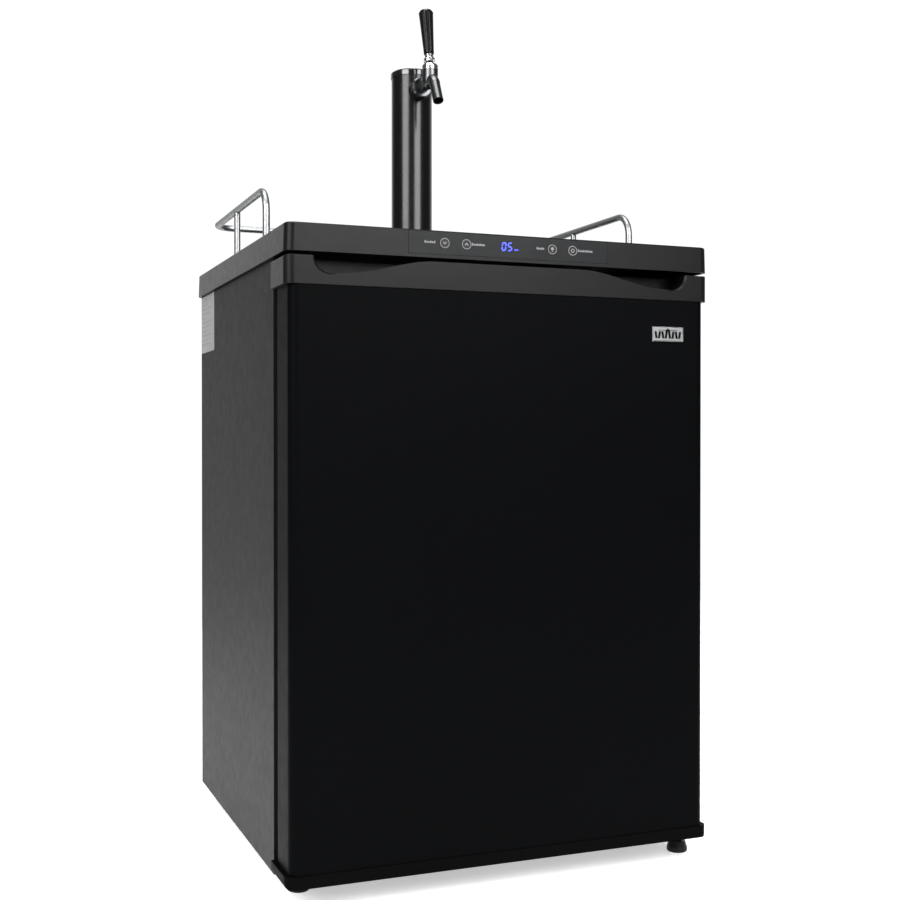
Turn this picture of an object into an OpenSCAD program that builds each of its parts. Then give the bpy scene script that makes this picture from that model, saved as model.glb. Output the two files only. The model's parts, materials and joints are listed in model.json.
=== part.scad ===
// Undercounter kegerator: insulated cabinet, door, beer tower with one tap, gas and cooling parts inside.
// Frame: origin on the floor under the middle of the object, +X to the right, +Y to the back, +Z up.

/* [Overall size] */
// Width over the worktop and the door trims
unit_w = 600; // [594:1:606]
// Depth from the door face to the wall spacers behind the condenser
unit_d = 622; // [620:1:624]
// Height of the worktop above the floor
worktop_z = 851; // [848:1:854]

/* [Worktop] */
// Depth of the moulded worktop
cap_d = 574; // [570:1:578]
// Height of the worktop's edge
cap_h = 35; // [34:0.5:36]
// Plan radius of the worktop's and the door trims' corners
cap_r = 12; // [10:1:16]

/* [Door] */
// Thickness of the door without its gasket
door_t = 64.5; // [63:0.5:66]
// Gap between the door and the worktop
door_gap = 4.8; // [4.5:0.1:6.5]
// Height of the top trim, which holds the handle scoop
top_trim_h = 35.2; // [33:0.1:36]
// Half the width of the handle scoop
scoop_half = 263; // [256:1:268]
// Half the width of the raised middle of the scoop's lip
lip_half = 105; // [90:1:120]

/* [Cabinet] */
// Inner width of the liner
inner_w = 500; // [496:1:504]
// Height of the liner's floor
inner_z = 80; // [76:1:84]
// Height of the liner's ceiling
inner_top_z = 772; // [770:1:776]

/* [Tower] */
// Outer diameter of the beer tower
tower_d = 63.5; // [62:0.5:65]
// Height of the tower above the worktop
tower_h = 309; // [305:1:315]

/* [Tap] */
// Height of the tap's centre line above the worktop
tap_h = 276; // [272:1:280]
// Length of the tap handle
handle_l = 72; // [66:0.5:80]
// How far the handle leans back when shut, in degrees
tap_lean = 11.2; // [10:0.1:12]

/* [Guard rail] */
// Diameter of the rail's tube
rail_d = 10; // [9:0.5:11]
// Height of the rail's centre above the worktop
rail_h = 75; // [60:0.5:90]

/* [Controls] */
// Diameter of a push button
button_d = 14.4; // [13:0.2:15]
// How far a push button travels
button_travel = 1; // [0.6:0.1:1.2]

/* [Gas] */
// Diameter of the gas cylinder
gas_d = 111; // [105:1:112]
// Outer diameter of the beer line
beer_line_d = 11; // [9:0.5:11]
// Outer diameter of the gas line
gas_line_d = 10; // [8:0.5:10]

/* [Hidden] */
$fn = 64;
eps = 0.01;

// Main planes
half_w = unit_w / 2;
front_y = -unit_d / 2;
back_y = unit_d / 2;
cap_z = worktop_z - cap_h;
cap_back_y = front_y + cap_d;
cap_wall = 3;
cap_draft = 1;
cap_ease = 1.5;
cap_under_z = worktop_z - cap_wall;

// Cabinet: steel skins, foam between skin and liner, a stepped back over the compressor bay
sheet = 1;
side_x = half_w - 5.4;
cab_front_y = front_y + 82;
cab_back_y = front_y + 567;
cab_z = 29;
base_sheet = 1.5;
flange_w = 16;
top_board = 4;
foam_top_z = cap_z - top_board;
foam_half = side_x - sheet;
foam_front_y = cab_front_y + sheet;
foam_back_y = cab_back_y - 2 * sheet;
foam_z = cab_z + base_sheet;
liner_t = 2;
inner_back_y = cab_back_y - 45;
hump_y = inner_back_y - 72;
hump_z = inner_z + 177;
bay_y = hump_y + 37;
bay_z = hump_z - 35;
kick_top_z = 46;

// Door
door_top_z = cap_z - door_gap;
door_z = 34;
skin_top_z = door_top_z - top_trim_h;
skin_z = 50;
door_back_y = front_y + door_t;
trim_back_y = front_y + 77;
skin_x = side_x - 0.4;
skin_front_y = front_y + 1.5;
door_recess_y = front_y + 34;
gasket_y = cab_front_y - 0.3;
hinge_x = half_w - 15;
hinge_y = front_y + 56;
pin_r = 4;
low_pin_r = 6;
scoop_depth = 20.6;
running = 0.05;
hinge_plate = 3.5;

// Tower and tap
tower_r = tower_d / 2;
tower_bore_r = tower_r - 1.5;
tower_y = front_y + 378;
tower_top_z = worktop_z + tower_h;
tower_hole_r = 25;
tower_flange_r = 52;
tower_flange_t = 5;
tower_screw_r = 42;
tower_front_y = tower_y - tower_r;
tap_z = worktop_z + tap_h;
shank_r = 11;
tap_bore_r = 5.6;
shank_front_y = tower_front_y - 15;
pivot_y = tower_front_y - 50;
pivot_z = tap_z + 17;
lever_arm = 14;
lever_tip_r = 3.4;
ferrule_l = 18.5;
bonnet_z = pivot_z + 0.5;
spout_r = 8.5;
spout_tip_r = 7.9;
spout_bend = 16;
spout_angle = 62;
spout_y = pivot_y - 5;
spout_l = 33;
spout_bore_r = 6.4;
bend_bore_r = 4.4;

// Guard rail: two sides and a back, each side on two legs, the back on one
rail_r = rail_d / 2;
rail_x = half_w - 21;
rail_z = worktop_z + rail_h;
rail_front_y = front_y + 185;
rail_mid_y = front_y + 368;
rail_back_y = front_y + 535;
leg_bend = 32;
corner_bend = 28;
post_r = rail_r - 0.4;
leg_z = worktop_z - 9;

// Controls on the worktop's front edge
fascia_half = 141;
fascia_z = cap_z + 5;
fascia_top_z = worktop_z - 1.7;
fascia_y = front_y + 0.1;
fascia_t = 1;
control_z = cap_z + 19.6;
button_x = [-92, -62, 60, 90];
button_hole_r = button_d / 2 + 0.3;
button_flange_r = button_d / 2 + 1.6;
button_back_y = front_y + 4.8;
board_y = front_y + 9;
board_half = 130;

// Feet
foot_r = 14;
boss_z = 22;
foot_top_z = boss_z - 0.3;
stud_r = 4;
foot_x = 258;
foot_front_y = front_y + 98;
foot_rear_y = cab_back_y - 31;

// Cooling parts
comp_x = 90;
comp_y = bay_y + 67;
comp_z = 48;
comp_h = 142;
comp_r = 56;
comp_half = 22;
mount_x = 78;
mount_y = 36;
coil_y = back_y - 19;
coil_r = 2.5;
coil_half = 230;
coil_pitch = 50;
coil_passes = 11;
coil_z = hump_z + 23;
wire_r = 0.9;
wire_step = 20;
fan_x = -150;
fan_z = 625;
fan_bore_r = 58;
fan_y = inner_back_y - 26;

// Gas parts
gas_x = inner_w / 2 - 60;
gas_y = hump_y - 59;
gas_body_z = inner_z + 343;
reg_y = gas_y + 72;
reg_z = gas_body_z + 39;
coupler_x = -40;
coupler_y = inner_back_y - 33;
coupler_pivot_z = hump_z + 78;
lever_l = 80;
lever_lift = 40;
line_y = inner_back_y - 8;

// The beer line's route, from the tap's tail inside the tower to the parked coupler
beer_route = [
  [0, tower_y, tap_z - 30],
  [0, tower_y, 740],
  [coupler_x, line_y, 740],
  [coupler_x, line_y, 560],
  [coupler_x, coupler_y, 450],
  [coupler_x, coupler_y, hump_z + 135]
];
// The gas line's route, from the regulator's outlet to the coupler's inlet
gas_route = [
  [gas_x, reg_y, reg_z - 44],
  [gas_x, reg_y, 340],
  [gas_x - 20, line_y, 275],
  [80, line_y, 275],
  [35, coupler_y, hump_z + 43],
  [coupler_x + 45, coupler_y, hump_z + 43]
];

function unit(v) = v / norm(v);
function curve_point(a, b, c, t) = (1 - t) * (1 - t) * a + 2 * t * (1 - t) * b + t * t * c;

// The route with each corner rounded, starting the bend a given length before the corner
function rounded_route(p, bend, steps) = [
  p[0],
  for (i = [1 : len(p) - 2])
    let (a = p[i] + unit(p[i - 1] - p[i]) * bend)
    let (b = p[i] + unit(p[i + 1] - p[i]) * bend)
    for (k = [0 : steps]) curve_point(a, p[i], b, k / steps),
  p[len(p) - 1]
];
function heading(q, i) = unit(q[min(i + 1, len(q) - 1)] - q[max(i - 1, 0)]);
function sideways(q, i) =
  let (t = heading(q, i))
  let (v = i == 0 ? [0, 1, 0.1] : sideways(q, i - 1))
  unit(v - (v * t) * t);

// A closed tube of a given radius along a route
module swept_tube(route, r, sides, bend) {
  q = rounded_route(route, bend, 6);
  n = len(q);
  points = [
    for (i = [0 : n - 1])
      let (u = sideways(q, i), w = cross(heading(q, i), u))
      for (k = [0 : sides - 1]) q[i] + r * (cos(360 * k / sides) * u + sin(360 * k / sides) * w)
  ];
  faces = concat(
    [[for (k = [0 : sides - 1]) k]],
    [
      for (i = [0 : n - 2], k = [0 : sides - 1])
        [i * sides + k, (i + 1) * sides + k, (i + 1) * sides + (k + 1) % sides, i * sides + (k + 1) % sides]
    ],
    [[for (k = [sides - 1 : -1 : 0]) (n - 1) * sides + k]]
  );
  polyhedron(points, faces, convexity = 8);
}

// A box given by its low and high corners
module slab(low, high) {
  translate(low) cube(high - low);
}

// A rectangle given by its low and high corners, with rounded corners
module round_rect(low, high, r) {
  translate([low[0] + r, low[1]]) square([high[0] - low[0] - 2 * r, high[1] - low[1]]);
  translate([low[0], low[1] + r]) square([high[0] - low[0], high[1] - low[1] - 2 * r]);
  for (x = [low[0] + r, high[0] - r], y = [low[1] + r, high[1] - r])
    translate([x, y]) circle(r);
}

// A cylinder along +Y from y1 to y2
module rod_y(x, y1, y2, z, r) {
  translate([x, y1, z]) rotate([-90, 0, 0]) cylinder(r = r, h = y2 - y1);
}

// A cylinder along +X from x1 to x2
module rod_x(x1, x2, y, z, r) {
  translate([x1, y, z]) rotate([0, 90, 0]) cylinder(r = r, h = x2 - x1);
}

// A cylinder along +Z from z1 to z2
module rod_z(x, y, z1, z2, r) {
  translate([x, y, z1]) cylinder(r = r, h = z2 - z1);
}

// A hexagonal nut on a vertical axis
module nut_z(x, y, z, h, r, bore) {
  translate([x, y, z]) difference() {
    cylinder(r = r, h = h, $fn = 6);
    translate([0, 0, -1]) cylinder(r = bore, h = h + 2);
  }
}

// A bent length of round tube in the XY plane
module elbow(bend, r, turn = 90) {
  rotate_extrude(angle = turn) translate([bend, 0]) circle(r);
}

// ---- Cabinet ----

module side_panel(s) {
  outer = s * side_x;
  inner = s * (side_x - sheet);
  fold = s * (side_x - flange_w);
  slab([min(outer, inner), cab_front_y, cab_z], [max(outer, inner), cab_back_y, cap_z]);
  slab([min(outer, fold), cab_front_y, cab_z], [max(outer, fold), foam_front_y, foam_top_z]);
  slab([min(outer, fold), cab_back_y - sheet, cab_z], [max(outer, fold), cab_back_y, cap_z]);
}

module left_side_panel() {
  color("#2b2c2d") side_panel(-1);
}

module right_side_panel() {
  color("#2b2c2d") side_panel(1);
}

module top_panel() {
  color("#8a8d90") difference() {
    slab([-foam_half, cab_front_y, foam_top_z], [foam_half, cab_back_y - sheet, cap_z]);
    hinge_notch();
    rod_z(0, tower_y, foam_top_z - 1, cap_z + 1, tower_hole_r);
  }
}

module hinge_notch() {
  slab([261.5, cab_front_y - 1, foam_top_z - eps], [foam_half + 1, hinge_y + 64, cap_z + 1]);
}

// The space inside the liner, grown by g on every side, with the step over the compressor bay left out
module inner_space(g, front) {
  difference() {
    slab([-inner_w / 2 - g, front, inner_z - g], [inner_w / 2 + g, inner_back_y + g, inner_top_z + g]);
    slab([-half_w, hump_y + g, 0], [half_w, back_y, hump_z - g]);
  }
}

module insulation_foam() {
  color("#e8d9a8") difference() {
    slab([-foam_half, foam_front_y, foam_z], [foam_half, foam_back_y, foam_top_z]);
    slab([-half_w, bay_y - sheet, 0], [half_w, back_y, bay_z + sheet]);
    inner_space(liner_t, cab_front_y - 5);
    slab([-200, inner_back_y, 300], [200, inner_back_y + liner_t + 2, 700]);
    rod_z(0, tower_y, inner_top_z, foam_top_z + 1, tower_hole_r);
    rod_z(-foot_x, foot_front_y, foam_z - 1, 52, 6);
    hinge_screws();
  }
}

module inner_liner() {
  color("#f0f0ee") difference() {
    union() {
      inner_space(liner_t, cab_front_y);
      slab([-side_x + flange_w, cab_front_y, kick_top_z], [side_x - flange_w, foam_front_y, foam_top_z]);
    }
    inner_space(0, cab_front_y - 5);
    rod_z(0, tower_y, inner_top_z - 1, foam_top_z, tower_hole_r);
  }
}

// The stepped back sheet: upright back, roof of the bay, front wall of the bay
module rear_panel() {
  color("#77797b") union() {
    slab([-foam_half, foam_back_y, bay_z], [foam_half, foam_back_y + sheet, foam_top_z]);
    slab([-foam_half, bay_y - sheet, bay_z], [foam_half, foam_back_y + sheet, bay_z + sheet]);
    slab([-foam_half, bay_y - sheet, foam_z], [foam_half, bay_y, bay_z + sheet]);
  }
}

module base_frame() {
  color("#3a3b3c") difference() {
    union() {
      slab([-foam_half, foam_front_y, cab_z], [foam_half, cab_back_y - sheet, foam_z]);
      slab([-side_x + flange_w, cab_front_y, cab_z], [side_x - flange_w, foam_front_y, kick_top_z]);
      slab([comp_x - 130, bay_y, cab_z], [comp_x + 130, back_y - 9, foam_z]);
      slab([comp_x - 130, back_y - 10.5, cab_z], [comp_x + 130, back_y - 9, cab_z + 11]);
      slab([-foam_half, cab_back_y - 2.5, cab_z], [comp_x - 132, cab_back_y - sheet, cab_z + 26]);
      for (p = [[-foot_x, foot_front_y], [-foot_x, foot_rear_y], [foot_x, foot_rear_y]])
        rod_z(p[0], p[1], boss_z, cab_z + 1, 9);
    }
    for (p = [[-foot_x, foot_front_y], [-foot_x, foot_rear_y], [foot_x, foot_rear_y]])
      rod_z(p[0], p[1], boss_z - 1, foam_z + 1, stud_r + running);
    // Hole for the mains cord's gland
    rod_y(-200, cab_back_y - 5, cab_back_y, cab_z + 14, 6);
    // Drain slots under the compressor
    for (i = [-2 : 2])
      slab([comp_x + i * 34 - 12, comp_y - 3, cab_z - 1], [comp_x + i * 34 + 12, comp_y + 3, foam_z + 1]);
  }
}

// ---- Worktop and controls ----

module worktop_block() {
  top_x = half_w - cap_draft - cap_r;
  hull() {
    for (s = [-1, 1], y = [front_y + cap_r, cap_back_y - cap_r]) {
      rod_z(s * (half_w - cap_r), y, cap_z, cap_z + 1, cap_r, $fn = 48);
      rod_z(s * top_x, y, worktop_z - cap_ease - 1, worktop_z - cap_ease, cap_r, $fn = 48);
      translate([s * top_x, y, worktop_z - cap_ease])
        cylinder(r1 = cap_r, r2 = cap_r - cap_ease, h = cap_ease, $fn = 48);
    }
  }
}

module worktop_cap() {
  inset = cap_wall + cap_draft;
  color("#2f3032") difference() {
    union() {
      difference() {
        worktop_block();
        translate([0, 0, cap_z - 1])
          linear_extrude(cap_h - cap_wall + 1)
            round_rect(
              [-half_w + inset, front_y + cap_wall], [half_w - inset, cap_back_y - cap_wall], cap_r - cap_wall
            );
      }
      for (x = [-120, 120], z = [cap_z + 10, cap_z + 27])
        rod_y(x, front_y + cap_wall - 1, board_y, z, 3);
    }
    slab(
      [-fascia_half - 0.3, front_y - 1, fascia_z - 0.3],
      [fascia_half + 0.3, fascia_y + fascia_t, fascia_top_z + 0.3]
    );
    for (x = button_x)
      rod_y(x, front_y - 1, front_y + cap_wall + 1, control_z, button_hole_r);
    slab([-16, front_y - 1, control_z - 8], [12, front_y + cap_wall + 1, control_z + 8]);
    rod_z(0, tower_y, cap_under_z - 1, worktop_z + 1, tower_hole_r);
    for (a = [45 : 90 : 315])
      translate([0, tower_y, 0]) rotate(a) rod_z(tower_screw_r, 0, cap_under_z - 1, worktop_z + 1, 2.5);
    for (s = [-1, 1]) {
      rod_z(s * rail_x, rail_front_y, cap_under_z - 1, worktop_z + 1, rail_r);
      rod_z(s * rail_x, rail_mid_y, cap_under_z - 1, worktop_z + 1, post_r);
    }
    rod_z(0, rail_back_y, cap_under_z - 1, worktop_z + 1, post_r);
  }
}

module control_fascia() {
  color("#46484a") difference() {
    slab([-fascia_half, fascia_y, fascia_z], [fascia_half, fascia_y + fascia_t, fascia_top_z]);
    for (x = button_x)
      rod_y(x, front_y - 1, front_y + 3, control_z, button_hole_r);
  }
}

module control_board() {
  color("#2e6b3a") union() {
    slab([-board_half, board_y, cap_z + 5], [board_half, board_y + 1.6, cap_z + 31]);
    for (x = button_x)
      rod_y(x, board_y - 2.2, board_y + 1, control_z, 2);
    slab([-15.5, front_y + 1.3, control_z - 7.5], [11.5, board_y + 1, control_z + 7.5]);
    slab([20, board_y + 1, control_z - 8], [44, board_y + 8, control_z + 8]);
    slab([-115, board_y + 1, control_z - 9], [-95, board_y + 12, control_z + 4]);
  }
}

module button(i) {
  color("#8d9092") union() {
    rod_y(button_x[i], front_y, button_back_y, control_z, button_d / 2);
    rod_y(button_x[i], front_y + cap_wall + 0.3, button_back_y, control_z, button_flange_r);
  }
}

// ---- Guard rail and tower ----

module guard_rail() {
  color("#c8cacc") union() {
    for (s = [-1, 1]) {
      rod_z(s * rail_x, rail_front_y, leg_z, rail_z - leg_bend, rail_r);
      translate([s * rail_x, rail_front_y + leg_bend, rail_z - leg_bend])
        rotate([0, -90, 0]) rotate(-90) elbow(leg_bend, rail_r);
      rod_y(s * rail_x, rail_front_y + leg_bend, rail_back_y - corner_bend, rail_z, rail_r);
      translate([s * (rail_x - corner_bend), rail_back_y - corner_bend, rail_z])
        rotate(s > 0 ? 0 : 90) elbow(corner_bend, rail_r);
      rod_z(s * rail_x, rail_mid_y, leg_z, rail_z, post_r);
    }
    rod_x(-rail_x + corner_bend, rail_x - corner_bend, rail_back_y, rail_z, rail_r);
    rod_z(0, rail_back_y, leg_z, rail_z, post_r);
  }
}

module tower_column() {
  color("#0d0d0e") difference() {
    union() {
      rod_z(0, tower_y, worktop_z, worktop_z + tower_flange_t, tower_flange_r);
      translate([0, tower_y, worktop_z + tower_flange_t])
        cylinder(r1 = tower_r + 4, r2 = tower_r, h = 4);
      rod_z(0, tower_y, worktop_z, tower_top_z - 3, tower_r);
    }
    rod_z(0, tower_y, worktop_z - 1, tower_top_z, tower_bore_r);
    for (a = [45 : 90 : 315])
      translate([0, tower_y, 0])
        rotate(a) rod_z(tower_screw_r, 0, worktop_z - 1, worktop_z + tower_flange_t + 1, 2.5);
    rod_y(0, tower_front_y - 5, tower_y, tap_z, shank_r);
  }
}

module tower_insulation() {
  color("#d8d4c6") difference() {
    rod_z(0, tower_y, worktop_z + 7, tap_z - 34, tower_bore_r - 2);
    rod_z(0, tower_y, worktop_z, tap_z, beer_line_d / 2 + 2.5);
  }
}

module tower_cap() {
  color("#151516") translate([0, tower_y, 0]) rotate_extrude()
    polygon([
      [0, tower_top_z - 3], [tower_r, tower_top_z - 3], [tower_r, tower_top_z - 9],
      [tower_r + 1.3, tower_top_z - 9], [tower_r + 1.3, tower_top_z - 2],
      [tower_r - 0.7, tower_top_z], [0, tower_top_z]
    ]);
}

module hinge_screws() {
  for (y = [hinge_y + 36, hinge_y + 54])
    rod_z(277, y, foam_top_z - 18, foam_top_z + hinge_plate, 2.5);
}

module top_fasteners() {
  color("#b9bcbe") union() {
    for (a = [45 : 90 : 315])
      translate([0, tower_y, 0]) rotate(a) {
        rod_z(tower_screw_r, 0, worktop_z - 12, worktop_z + tower_flange_t + 0.5, 2.5);
        rod_z(tower_screw_r, 0, worktop_z + tower_flange_t, worktop_z + tower_flange_t + 2.5, 4.5);
        nut_z(tower_screw_r, 0, cap_under_z - 4, 4, 4.6, 2.4);
      }
    for (s = [-1, 1]) {
      nut_z(s * rail_x, rail_front_y, cap_under_z - 5, 5, 7.5, rail_r);
      nut_z(s * rail_x, rail_mid_y, cap_under_z - 5, 5, 7.5, post_r);
    }
    nut_z(0, rail_back_y, cap_under_z - 5, 5, 7.5, post_r);
    difference() {
      translate([0, tower_y - 25.8, tap_z]) rotate([-90, 0, 0]) cylinder(r = 15, h = 8, $fn = 6);
      rod_y(0, tower_y - 30, tower_y, tap_z, shank_r);
    }
    hinge_screws();
  }
}

// ---- Tap ----

module tap_shank() {
  color("#c8cacc") difference() {
    union() {
      rod_y(0, shank_front_y, tower_y + 11, tap_z, shank_r);
      difference() {
        rod_y(0, tower_front_y - 4.5, tower_front_y + 6, tap_z, 15.5);
        rod_z(0, tower_y, tap_z - 30, tap_z + 30, tower_r);
      }
      rod_z(0, tower_y, tap_z - 30, tap_z, 4.5);
    }
    rod_y(0, shank_front_y - 1, tower_y - 9, tap_z, tap_bore_r);
    rod_y(0, tower_y - 10, tower_y, tap_z, 3);
    rod_z(0, tower_y, tap_z - 31, tap_z, 3);
  }
}

module coupling_nut() {
  y1 = shank_front_y - 3;
  y2 = tower_front_y - 4.5;
  color("#c8cacc") difference() {
    translate([0, y1, tap_z]) rotate([-90, 0, 0]) rotate_extrude()
      polygon([
        [9, 0], [14, 0], [16, 2.5], [16, y2 - y1 - 1], [15, y2 - y1], [shank_r, y2 - y1], [shank_r, 3], [9, 3]
      ]);
    for (a = [0 : 60 : 300])
      translate([0, (y1 + y2) / 2, tap_z]) rotate([0, a, 0]) rod_z(0, 0, 14, 18, 2);
  }
}

module faucet_body() {
  color("#c8cacc") difference() {
    union() {
      rod_y(0, spout_y - 1, shank_front_y, tap_z, 9);
      rod_z(0, pivot_y, tap_z, bonnet_z, 12);
      translate([0, pivot_y, tap_z]) sphere(12);
      spout_curve(spout_r);
      spout_end() translate([0, 0, -2]) cylinder(r1 = spout_r - 0.3, r2 = spout_tip_r, h = spout_l + 2);
    }
    rod_y(0, spout_y - 4, shank_front_y + 1, tap_z, tap_bore_r);
    spout_curve(bend_bore_r);
    spout_end() translate([0, 0, -2]) cylinder(r = spout_bore_r, h = spout_l + 4);
    translate([0, pivot_y, pivot_z]) sphere(7.4);
    slab([-4.2, pivot_y - 7.5, tap_z - 4], [4.2, pivot_y + 10.5, pivot_z - 4]);
    rod_z(0, pivot_y, pivot_z, bonnet_z + 1, 7.3);
  }
}

// The bend from the barrel down to the spout, as a tube of radius r
module spout_curve(r) {
  translate([0, spout_y, tap_z - spout_bend])
    rotate([0, -90, 0]) rotate(-spout_angle) elbow(spout_bend, r, spout_angle);
}

// Frame at the start of the spout's straight length, +Z down the spout
module spout_end() {
  y = spout_y - spout_bend * sin(spout_angle);
  z = tap_z - spout_bend * (1 - cos(spout_angle));
  translate([0, y, z]) rotate([90 + spout_angle, 0, 0]) children();
}

module faucet_bonnet() {
  color("#c8cacc") translate([0, pivot_y, bonnet_z]) rotate_extrude()
    polygon([[7.3, 0], [12.3, 0], [12.3, 5], [11, 7.5], [8, 7.5]]);
}

module faucet_plunger() {
  tip_y = pivot_y - lever_arm * sin(tap_lean) + lever_tip_r + 0.3;
  color("#a8abad") union() {
    rod_y(0, tip_y, tower_front_y - 4, tap_z, 3.5);
    rod_y(0, tower_front_y - 8, tower_front_y - 5, tap_z, 5.2);
  }
}

module on_lever() {
  translate([0, pivot_y, pivot_z]) rotate([-tap_lean, 0, 0]) children();
}

module tap_lever() {
  color("#c8cacc") on_lever() union() {
    sphere(7);
    translate([0, 0, -lever_arm]) cylinder(r = 2.6, h = lever_arm);
    translate([0, 0, -lever_arm]) sphere(lever_tip_r);
    cylinder(r = 3, h = 12);
    // Collar over the bonnet, and the ferrule that holds the handle
    rotate_extrude()
      polygon([
        [0, 10.2], [4, 10.2], [8.7, 14], [8.7, ferrule_l - 1], [7.7, ferrule_l], [6.6, ferrule_l],
        [6.6, ferrule_l + 6], [0, ferrule_l + 6]
      ]);
    translate([0, 0, ferrule_l + 5]) cylinder(r = 3.6, h = 16);
  }
}

module tap_handle() {
  start = ferrule_l + 6;
  color("#121213") on_lever() difference() {
    translate([0, 0, start]) rotate_extrude()
      polygon([
        [0, 0], [6.8, 0], [7.8, 2], [8, 8], [10.8, handle_l - 8], [11.2, handle_l - 4],
        [9.8, handle_l - 1.2], [6, handle_l], [0, handle_l]
      ]);
    translate([0, 0, start - 1]) cylinder(r = 3.6, h = 16);
    for (a = [0 : 45 : 315])
      rotate(a) translate([8.8, 0, start + 5]) rotate([0, 2.6, 0]) cylinder(r = 1.8, h = handle_l - 9);
  }
}

module drip_pan() {
  color("#b4b7b9") translate([0, pivot_y - 43, worktop_z]) rotate_extrude()
    polygon([
      [0, 0], [66, 0], [70, 3], [70, 18], [67.5, 18], [67.5, 14], [64, 14], [64, 4], [61.5, 2], [0, 2]
    ]);
}

module drip_grille() {
  color("#1a1a1b") translate([0, pivot_y - 43, worktop_z + 14.3]) difference() {
    cylinder(r = 67, h = 2.5);
    for (i = [-5 : 5])
      let (l = sqrt(60 * 60 - 100 * i * i))
      slab([-l, i * 10 - 3, -1], [l, i * 10 + 3, 4]);
  }
}

// ---- Hinges and feet ----

module upper_hinge() {
  z = foam_top_z;
  color("#1b1b1c") union() {
    difference() {
      union() {
        rod_z(hinge_x, hinge_y, z, z + hinge_plate, 13);
        slab([272, hinge_y, z], [292, hinge_y + 30, z + hinge_plate]);
        slab([262, hinge_y + 26.5, z], [292, hinge_y + 63, z + hinge_plate]);
      }
      for (y = [hinge_y + 36, hinge_y + 54])
        rod_z(277, y, z - 1, z + 5, 2.5);
    }
    rod_z(hinge_x, hinge_y, skin_top_z + 10, z + 1, pin_r);
  }
}

module lower_hinge() {
  z = cab_z;
  color("#1b1b1c") difference() {
    union() {
      rod_z(hinge_x, hinge_y, z - 3, z, 13);
      slab([272, hinge_y, z - 3], [292, hinge_y + 30, z]);
      slab([262, hinge_y + 26.5, z - 3], [292, hinge_y + 63, z]);
      rod_z(hinge_x, hinge_y, boss_z, z, 9);
      rod_z(hinge_x, hinge_y, z - 1, door_z - 0.3, 9);
      rod_z(hinge_x, hinge_y, z, 46, low_pin_r);
    }
    rod_z(hinge_x, hinge_y, boss_z - 1, door_z - 0.3, stud_r + running);
  }
}

module foot(x, y, stud_top) {
  color("#202021") translate([x, y, 0]) union() {
    rotate_extrude()
      polygon([[0, 0], [13, 0], [foot_r, 1], [foot_r, 7], [11.5, 16], [0, 16]]);
    translate([0, 0, 15]) cylinder(r = 8, h = foot_top_z - 15, $fn = 6);
    cylinder(r = stud_r, h = stud_top);
  }
}

// ---- Cooling parts ----

module compressor() {
  color("#1e1f20") difference() {
    union() {
      hull() {
        for (s = [-1, 1])
          translate([comp_x + s * comp_half, comp_y, comp_z]) rotate_extrude($fn = 48)
            polygon([
              [0, 0], [44, 0], [52, 6], [comp_r, 18], [comp_r, comp_h - 40], [52, comp_h - 20],
              [42, comp_h - 7], [28, comp_h - 1], [0, comp_h]
            ]);
      }
      slab([comp_x - 92, comp_y - 48, comp_z - 4], [comp_x + 92, comp_y + 48, comp_z + 0.5]);
      // Suction and discharge stubs
      rod_x(comp_x + 60, comp_x + 98, comp_y - 12, comp_z + 60, 4);
      rod_x(comp_x + 60, comp_x + 94, comp_y + 14, comp_z + 44, 3);
    }
    for (s = [-1, 1], t = [-1, 1])
      rod_z(comp_x + s * mount_x, comp_y + t * mount_y, comp_z - 5, comp_z + 8, 4.5);
  }
}

module compressor_mounts() {
  color("#262626") union() {
    for (s = [-1, 1], t = [-1, 1])
      translate([comp_x + s * mount_x, comp_y + t * mount_y, foam_z]) rotate_extrude()
        polygon([
          [0, 0], [9, 0], [9, 4], [7.5, 6], [9, 8], [9, comp_z - 4 - foam_z], [4.5, comp_z - 4 - foam_z],
          [4.5, comp_z + 0.5 - foam_z], [7.5, comp_z + 0.5 - foam_z], [7.5, comp_z + 3 - foam_z],
          [0, comp_z + 3 - foam_z]
        ]);
  }
}

module terminal_cover() {
  x = comp_x - comp_half - comp_r - 0.5;
  color("#101011") translate([0, comp_y + 30, comp_z + 22]) rotate([90, 0, 0]) linear_extrude(60)
    round_rect([x - 36, 0], [x, 58], 5);
}

module evaporation_tray() {
  z = comp_z + comp_h + 0.3;
  color("#3c3d3e") difference() {
    slab([comp_x - 74, comp_y - 44, z], [comp_x + 74, comp_y + 44, z + 20]);
    slab([comp_x - 72, comp_y - 42, z + 2], [comp_x + 72, comp_y + 42, z + 21]);
  }
}

function pass_z(i) = coil_z + (coil_passes - 1 - i) * coil_pitch;

module condenser_coil() {
  color("#232425") union() {
    for (i = [0 : coil_passes - 1])
      rod_x(-coil_half, coil_half, coil_y, pass_z(i), coil_r);
    for (i = [0 : coil_passes - 2])
      let (s = i % 2 == 0 ? 1 : -1)
      translate([s * coil_half, coil_y, (pass_z(i) + pass_z(i + 1)) / 2])
        rotate([90, 0, 0]) rotate(s > 0 ? -90 : 90) elbow(coil_pitch / 2, coil_r, 180);
    // Feed through the back sheet at the top, drop to the drier at the bottom
    translate([-coil_half, coil_y - 12, pass_z(0)]) rotate(90) elbow(12, coil_r);
    rod_y(-coil_half - 12, cab_back_y - sheet, coil_y - 12, pass_z(0), coil_r);
    translate([coil_half, coil_y, coil_z - 12]) rotate([90, 0, 0]) elbow(12, coil_r);
    rod_z(coil_half + 12, coil_y, 196, coil_z - 12, coil_r);
    translate([coil_half + 12, coil_y, 104]) rotate_extrude()
      polygon([[0, 0], [3, 0], [9, 10], [9, 82], [3, 94], [0, 94]]);
    for (x = [-220 : wire_step : 220])
      rod_z(x, coil_y + coil_r + wire_r + 0.05, coil_z - 12, pass_z(0) + 12, wire_r, $fn = 16);
  }
}

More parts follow.
